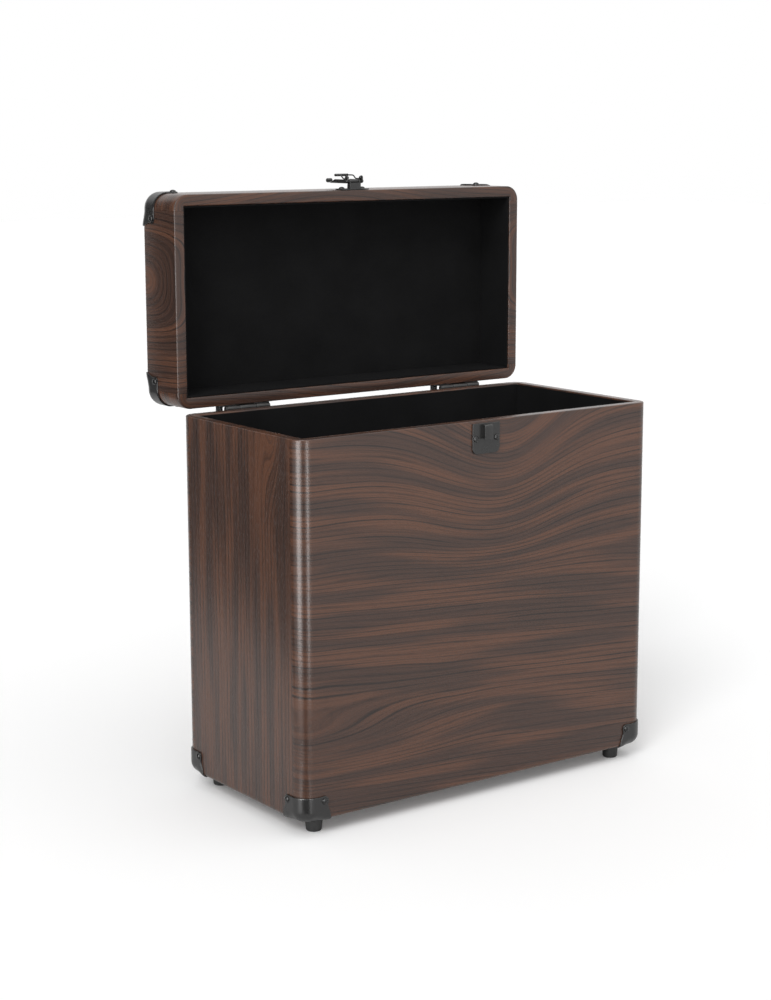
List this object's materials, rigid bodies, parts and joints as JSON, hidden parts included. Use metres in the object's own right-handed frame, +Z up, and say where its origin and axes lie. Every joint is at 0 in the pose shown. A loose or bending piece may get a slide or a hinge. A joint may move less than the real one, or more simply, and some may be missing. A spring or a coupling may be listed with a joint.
{
  "type": "record carrying case",
  "caption": "Upright rectangular carrying case with a wood-grain covering, open hinged lid with draw latch, black lining, metal corner protectors, rubber feet and a swinging handle.",
  "frame": {"origin": "on the surface under the feet, below the middle of the open case's bounding box", "axes": "+X towards the right-hand side seen from the front, +Y towards the back where the hinges are, +Z up"},
  "size_m": [0.3556, 0.24, 0.4932],
  "materials": {
    "wood_foil": "satin dark walnut foil with fine grain",
    "black_lining": "matt black",
    "black_steel": "satin black on stamped steel",
    "black_rubber": "matt",
    "black_moulding": "fine grained"
  },
  "bodies": {
    "body": {"body_bottom_panel": "wood_foil", "body_front_panel": "wood_foil", "body_rear_panel": "wood_foil", "body_left_panel": "wood_foil", "body_right_panel": "wood_foil", "body_bottom_lining": "black_lining", "body_front_lining": "black_lining", "body_rear_lining": "black_lining", "body_left_lining": "black_lining", "body_right_lining": "black_lining", "body_corner_front_left": "black_steel", "body_corner_front_right": "black_steel", "body_corner_rear_left": "black_steel", "body_corner_rear_right": "black_steel", "foot_front_left": "black_rubber", "foot_front_right": "black_rubber", "foot_rear_left": "black_rubber", "foot_rear_right": "black_rubber", "foot_screw_front_left": "black_steel", "foot_screw_front_right": "black_steel", "foot_screw_rear_left": "black_steel", "foot_screw_rear_right": "black_steel", "latch_catch": "black_steel", "hinge_body_leaf_left": "black_steel", "hinge_body_leaf_right": "black_steel", "hinge_pin_left": "black_steel", "hinge_pin_right": "black_steel"},
    "lid": {"lid_top_panel": "wood_foil", "lid_front_panel": "wood_foil", "lid_rear_panel": "wood_foil", "lid_left_panel": "wood_foil", "lid_right_panel": "wood_foil", "lid_top_lining": "black_lining", "lid_front_lining": "black_lining", "lid_rear_lining": "black_lining", "lid_left_lining": "black_lining", "lid_right_lining": "black_lining", "lid_corner_front_left": "black_steel", "lid_corner_front_right": "black_steel", "lid_corner_rear_left": "black_steel", "lid_corner_rear_right": "black_steel", "hinge_lid_leaf_left": "black_steel", "hinge_lid_leaf_right": "black_steel", "latch_base": "black_steel", "latch_lever_pin": "black_steel", "handle_bracket_left": "black_steel", "handle_bracket_right": "black_steel", "handle_pin_left": "black_steel", "handle_pin_right": "black_steel"},
    "latch_lever": {"latch_lever": "black_steel"},
    "latch_claw": {"latch_claw": "black_steel"},
    "handle": {"handle_grip": "black_moulding"}
  },
  "joints": [
    {"name": "lid_hinge", "type": "hinge", "parent": "body", "child": "lid", "pos_m": [0, 0.05752, 0.3072], "axis": [1, 0, 0], "range_deg": [0, 90]},
    {"name": "latch_lever_hinge", "type": "hinge", "parent": "lid", "child": "latch_lever", "pos_m": [0, 0.06082, 0.4874], "axis": [1, 0, 0], "range_deg": [0, 180]},
    {"name": "latch_claw_hinge", "type": "hinge", "parent": "latch_lever", "child": "latch_claw", "pos_m": [0, 0.06082, 0.4902], "axis": [-1, 0, 0], "range_deg": [0, 12.5]},
    {"name": "handle_hinge", "type": "hinge", "parent": "lid", "child": "handle", "pos_m": [0, 0.11497, 0.395], "axis": [1, 0, 0], "range_deg": [-3.5, 183.5]}
  ]
}
